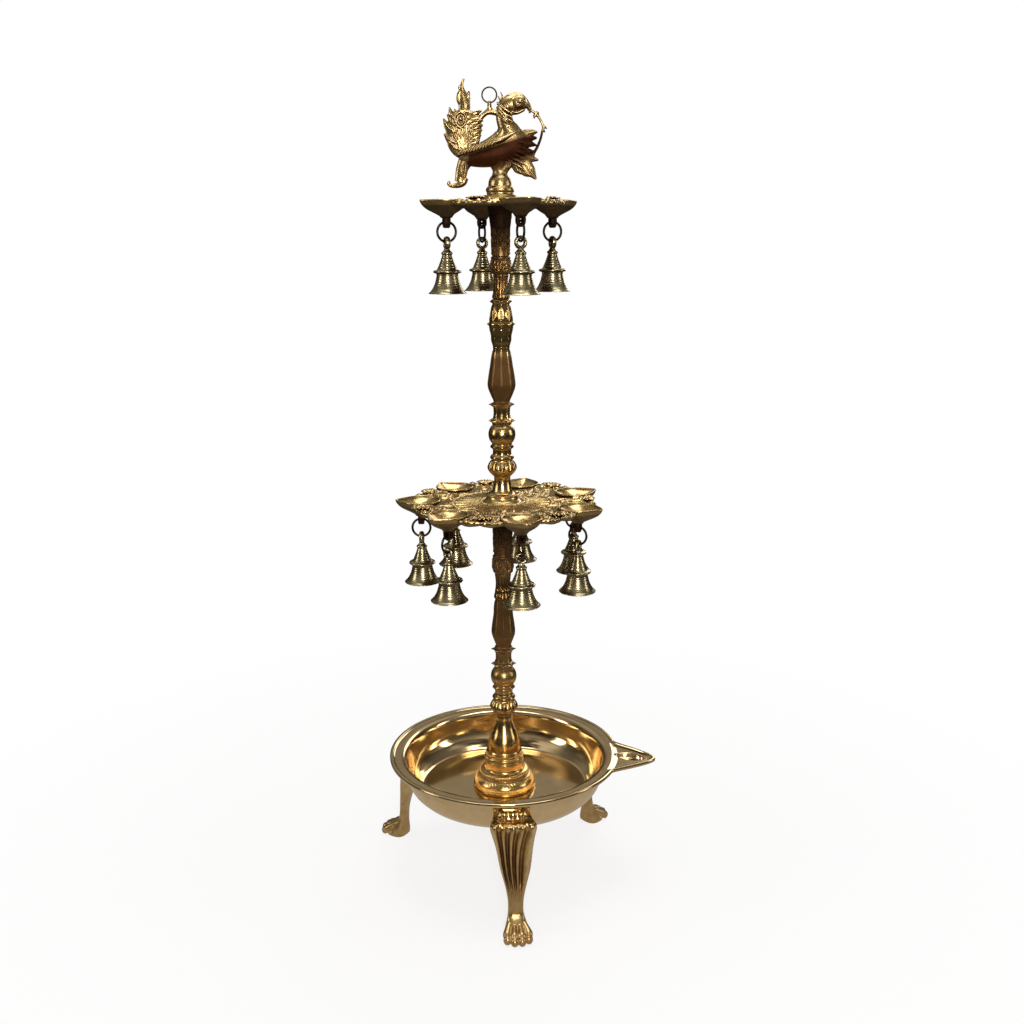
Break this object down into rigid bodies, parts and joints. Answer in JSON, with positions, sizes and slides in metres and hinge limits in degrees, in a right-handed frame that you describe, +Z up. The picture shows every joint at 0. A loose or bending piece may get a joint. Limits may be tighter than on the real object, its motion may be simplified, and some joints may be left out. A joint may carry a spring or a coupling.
{
  "type": "standing oil lamp",
  "caption": "Tall brass oil lamp: footed basin with a pouring spout, turned stem, two trays of pointed wick cups with hanging bells, and a peacock finial.",
  "frame": {"origin": "on the stem's axis at floor level", "axes": "+Z up along the stem, -Y towards the front with the front leg, +X towards the pouring spout"},
  "size_m": [0.3124, 0.2881, 0.832],
  "materials": {
    "polished_brass": "mirror polished spun brass",
    "cast_brass": "polished cast brass with brown lacquer left in the recesses",
    "antique_brass": "greenish antique brass with fine turning lines",
    "ring_wire": "dark oxidised brass wire",
    "zinc_steel": "zinc plated"
  },
  "bodies": {
    "stand": {"basin": "polished_brass", "leg_front": "cast_brass", "leg_right": "cast_brass", "leg_left": "cast_brass", "base_pedestal": "polished_brass", "base_bolt": "zinc_steel", "base_washer": "zinc_steel", "lower_baluster": "cast_brass", "lower_leaf_column": "cast_brass", "lower_tray": "cast_brass", "upper_baluster": "cast_brass", "upper_vase": "cast_brass", "upper_leaf_column": "cast_brass", "upper_tray": "cast_brass", "peacock_finial": "cast_brass", "hanging_ring": "ring_wire"},
    "lower_ring_1": {"lower_ring_1": "ring_wire"},
    "lower_bell_1": {"lower_bell_1": "antique_brass"},
    "lower_clapper_1": {"lower_clapper_1": "antique_brass"},
    "lower_ring_2": {"lower_ring_2": "ring_wire"},
    "lower_bell_2": {"lower_bell_2": "antique_brass"},
    "lower_clapper_2": {"lower_clapper_2": "antique_brass"},
    "lower_ring_3": {"lower_ring_3": "ring_wire"},
    "lower_bell_3": {"lower_bell_3": "antique_brass"},
    "lower_clapper_3": {"lower_clapper_3": "antique_brass"},
    "lower_ring_4": {"lower_ring_4": "ring_wire"},
    "lower_bell_4": {"lower_bell_4": "antique_brass"},
    "lower_clapper_4": {"lower_clapper_4": "antique_brass"},
    "lower_ring_5": {"lower_ring_5": "ring_wire"},
    "lower_bell_5": {"lower_bell_5": "antique_brass"},
    "lower_clapper_5": {"lower_clapper_5": "antique_brass"},
    "lower_ring_6": {"lower_ring_6": "ring_wire"},
    "lower_bell_6": {"lower_bell_6": "antique_brass"},
    "lower_clapper_6": {"lower_clapper_6": "antique_brass"},
    "lower_ring_7": {"lower_ring_7": "ring_wire"},
    "lower_bell_7": {"lower_bell_7": "antique_brass"},
    "lower_clapper_7": {"lower_clapper_7": "antique_brass"},
    "upper_ring_1": {"upper_ring_1": "ring_wire"},
    "upper_bell_1": {"upper_bell_1": "antique_brass"},
    "upper_clapper_1": {"upper_clapper_1": "antique_brass"},
    "upper_ring_2": {"upper_ring_2": "ring_wire"},
    "upper_bell_2": {"upper_bell_2": "antique_brass"},
    "upper_clapper_2": {"upper_clapper_2": "antique_brass"},
    "upper_ring_3": {"upper_ring_3": "ring_wire"},
    "upper_bell_3": {"upper_bell_3": "antique_brass"},
    "upper_clapper_3": {"upper_clapper_3": "antique_brass"},
    "upper_ring_4": {"upper_ring_4": "ring_wire"},
    "upper_bell_4": {"upper_bell_4": "antique_brass"},
    "upper_clapper_4": {"upper_clapper_4": "antique_brass"}
  },
  "joints": [
    {"name": "lower_ring_1_swing", "type": "hinge", "parent": "stand", "child": "lower_ring_1", "pos_m": [0.01811, -0.08305, 0.3987], "axis": [0.213, -0.977, 0], "range_deg": [-20, 20]},
    {"name": "lower_bell_1_swing", "type": "hinge", "parent": "lower_ring_1", "child": "lower_bell_1", "pos_m": [0.01811, -0.08305, 0.3893], "axis": [0.977, 0.213, 0], "range_deg": [-18, 18]},
    {"name": "lower_clapper_1_swing", "type": "hinge", "parent": "lower_bell_1", "child": "lower_clapper_1", "pos_m": [0.01811, -0.08305, 0.35775], "axis": [0.977, 0.213, 0], "range_deg": [-22, 22]},
    {"name": "lower_ring_2_swing", "type": "hinge", "parent": "stand", "child": "lower_ring_2", "pos_m": [0.07622, -0.03762, 0.3987], "axis": [0.8967, -0.4426, 0], "range_deg": [-20, 20]},
    {"name": "lower_bell_2_swing", "type": "hinge", "parent": "lower_ring_2", "child": "lower_bell_2", "pos_m": [0.07622, -0.03762, 0.3893], "axis": [0.4426, 0.8967, 0], "range_deg": [-18, 18]},
    {"name": "lower_clapper_2_swing", "type": "hinge", "parent": "lower_bell_2", "child": "lower_clapper_2", "pos_m": [0.07622, -0.03762, 0.35775], "axis": [0.4426, 0.8967, 0], "range_deg": [-22, 22]},
    {"name": "lower_ring_3_swing", "type": "hinge", "parent": "stand", "child": "lower_ring_3", "pos_m": [0.07694, 0.03613, 0.3987], "axis": [0.9051, 0.4251, 0], "range_deg": [-20, 20]},
    {"name": "lower_bell_3_swing", "type": "hinge", "parent": "lower_ring_3", "child": "lower_bell_3", "pos_m": [0.07694, 0.03613, 0.3893], "axis": [-0.4251, 0.9051, 0], "range_deg": [-18, 18]},
    {"name": "lower_clapper_3_swing", "type": "hinge", "parent": "lower_bell_3", "child": "lower_clapper_3", "pos_m": [0.07694, 0.03613, 0.35775], "axis": [-0.4251, 0.9051, 0], "range_deg": [-22, 22]},
    {"name": "lower_ring_4_swing", "type": "hinge", "parent": "stand", "child": "lower_ring_4", "pos_m": [0.01972, 0.08268, 0.3987], "axis": [0.232, 0.9727, 0], "range_deg": [-20, 20]},
    {"name": "lower_bell_4_swing", "type": "hinge", "parent": "lower_ring_4", "child": "lower_bell_4", "pos_m": [0.01972, 0.08268, 0.3893], "axis": [-0.9727, 0.232, 0], "range_deg": [-18, 18]},
    {"name": "lower_clapper_4_swing", "type": "hinge", "parent": "lower_bell_4", "child": "lower_clapper_4", "pos_m": [0.01972, 0.08268, 0.35775], "axis": [-0.9727, 0.232, 0], "range_deg": [-22, 22]},
    {"name": "lower_ring_5_swing", "type": "hinge", "parent": "stand", "child": "lower_ring_5", "pos_m": [-0.05235, 0.06697, 0.3987], "axis": [-0.6159, 0.7879, 0], "range_deg": [-20, 20]},
    {"name": "lower_bell_5_swing", "type": "hinge", "parent": "lower_ring_5", "child": "lower_bell_5", "pos_m": [-0.05235, 0.06697, 0.3893], "axis": [-0.7879, -0.6159, 0], "range_deg": [-18, 18]},
    {"name": "lower_clapper_5_swing", "type": "hinge", "parent": "lower_bell_5", "child": "lower_clapper_5", "pos_m": [-0.05235, 0.06697, 0.35775], "axis": [-0.7879, -0.6159, 0], "range_deg": [-22, 22]},
    {"name": "lower_ring_6_swing", "type": "hinge", "parent": "stand", "child": "lower_ring_6", "pos_m": [-0.085, 0.00083, 0.3987], "axis": [-1, 0.0097, 0], "range_deg": [-20, 20]},
    {"name": "lower_bell_6_swing", "type": "hinge", "parent": "lower_ring_6", "child": "lower_bell_6", "pos_m": [-0.085, 0.00083, 0.3893], "axis": [-0.0097, -1, 0], "range_deg": [-18, 18]},
    {"name": "lower_clapper_6_swing", "type": "hinge", "parent": "lower_bell_6", "child": "lower_clapper_6", "pos_m": [-0.085, 0.00083, 0.35775], "axis": [-0.0097, -1, 0], "range_deg": [-22, 22]},
    {"name": "lower_ring_7_swing", "type": "hinge", "parent": "stand", "child": "lower_ring_7", "pos_m": [-0.05364, -0.06594, 0.3987], "axis": [-0.6311, -0.7757, 0], "range_deg": [-20, 20]},
    {"name": "lower_bell_7_swing", "type": "hinge", "parent": "lower_ring_7", "child": "lower_bell_7", "pos_m": [-0.05364, -0.06594, 0.3893], "axis": [0.7757, -0.6311, 0], "range_deg": [-18, 18]},
    {"name": "lower_clapper_7_swing", "type": "hinge", "parent": "lower_bell_7", "child": "lower_clapper_7", "pos_m": [-0.05364, -0.06594, 0.35775], "axis": [0.7757, -0.6311, 0], "range_deg": [-22, 22]},
    {"name": "upper_ring_1_swing", "type": "hinge", "parent": "stand", "child": "upper_ring_1", "pos_m": [0.01898, -0.05215, 0.6987], "axis": [0.342, -0.9397, 0], "range_deg": [-20, 20]},
    {"name": "upper_bell_1_swing", "type": "hinge", "parent": "upper_ring_1", "child": "upper_bell_1", "pos_m": [0.01898, -0.05215, 0.6893], "axis": [0.9397, 0.342, 0], "range_deg": [-18, 18]},
    {"name": "upper_clapper_1_swing", "type": "hinge", "parent": "upper_bell_1", "child": "upper_clapper_1", "pos_m": [0.01898, -0.05215, 0.65775], "axis": [0.9397, 0.342, 0], "range_deg": [-22, 22]},
    {"name": "upper_ring_2_swing", "type": "hinge", "parent": "stand", "child": "upper_ring_2", "pos_m": [0.05215, 0.01898, 0.6987], "axis": [0.9397, 0.342, 0], "range_deg": [-20, 20]},
    {"name": "upper_bell_2_swing", "type": "hinge", "parent": "upper_ring_2", "child": "upper_bell_2", "pos_m": [0.05215, 0.01898, 0.6893], "axis": [-0.342, 0.9397, 0], "range_deg": [-18, 18]},
    {"name": "upper_clapper_2_swing", "type": "hinge", "parent": "upper_bell_2", "child": "upper_clapper_2", "pos_m": [0.05215, 0.01898, 0.65775], "axis": [-0.342, 0.9397, 0], "range_deg": [-22, 22]},
    {"name": "upper_ring_3_swing", "type": "hinge", "parent": "stand", "child": "upper_ring_3", "pos_m": [-0.01898, 0.05215, 0.6987], "axis": [-0.342, 0.9397, 0], "range_deg": [-20, 20]},
    {"name": "upper_bell_3_swing", "type": "hinge", "parent": "upper_ring_3", "child": "upper_bell_3", "pos_m": [-0.01898, 0.05215, 0.6893], "axis": [-0.9397, -0.342, 0], "range_deg": [-18, 18]},
    {"name": "upper_clapper_3_swing", "type": "hinge", "parent": "upper_bell_3", "child": "upper_clapper_3", "pos_m": [-0.01898, 0.05215, 0.65775], "axis": [-0.9397, -0.342, 0], "range_deg": [-22, 22]},
    {"name": "upper_ring_4_swing", "type": "hinge", "parent": "stand", "child": "upper_ring_4", "pos_m": [-0.05215, -0.01898, 0.6987], "axis": [-0.9397, -0.342, 0], "range_deg": [-20, 20]},
    {"name": "upper_bell_4_swing", "type": "hinge", "parent": "upper_ring_4", "child": "upper_bell_4", "pos_m": [-0.05215, -0.01898, 0.6893], "axis": [0.342, -0.9397, 0], "range_deg": [-18, 18]},
    {"name": "upper_clapper_4_swing", "type": "hinge", "parent": "upper_bell_4", "child": "upper_clapper_4", "pos_m": [-0.05215, -0.01898, 0.65775], "axis": [0.342, -0.9397, 0], "range_deg": [-22, 22]}
  ]
}
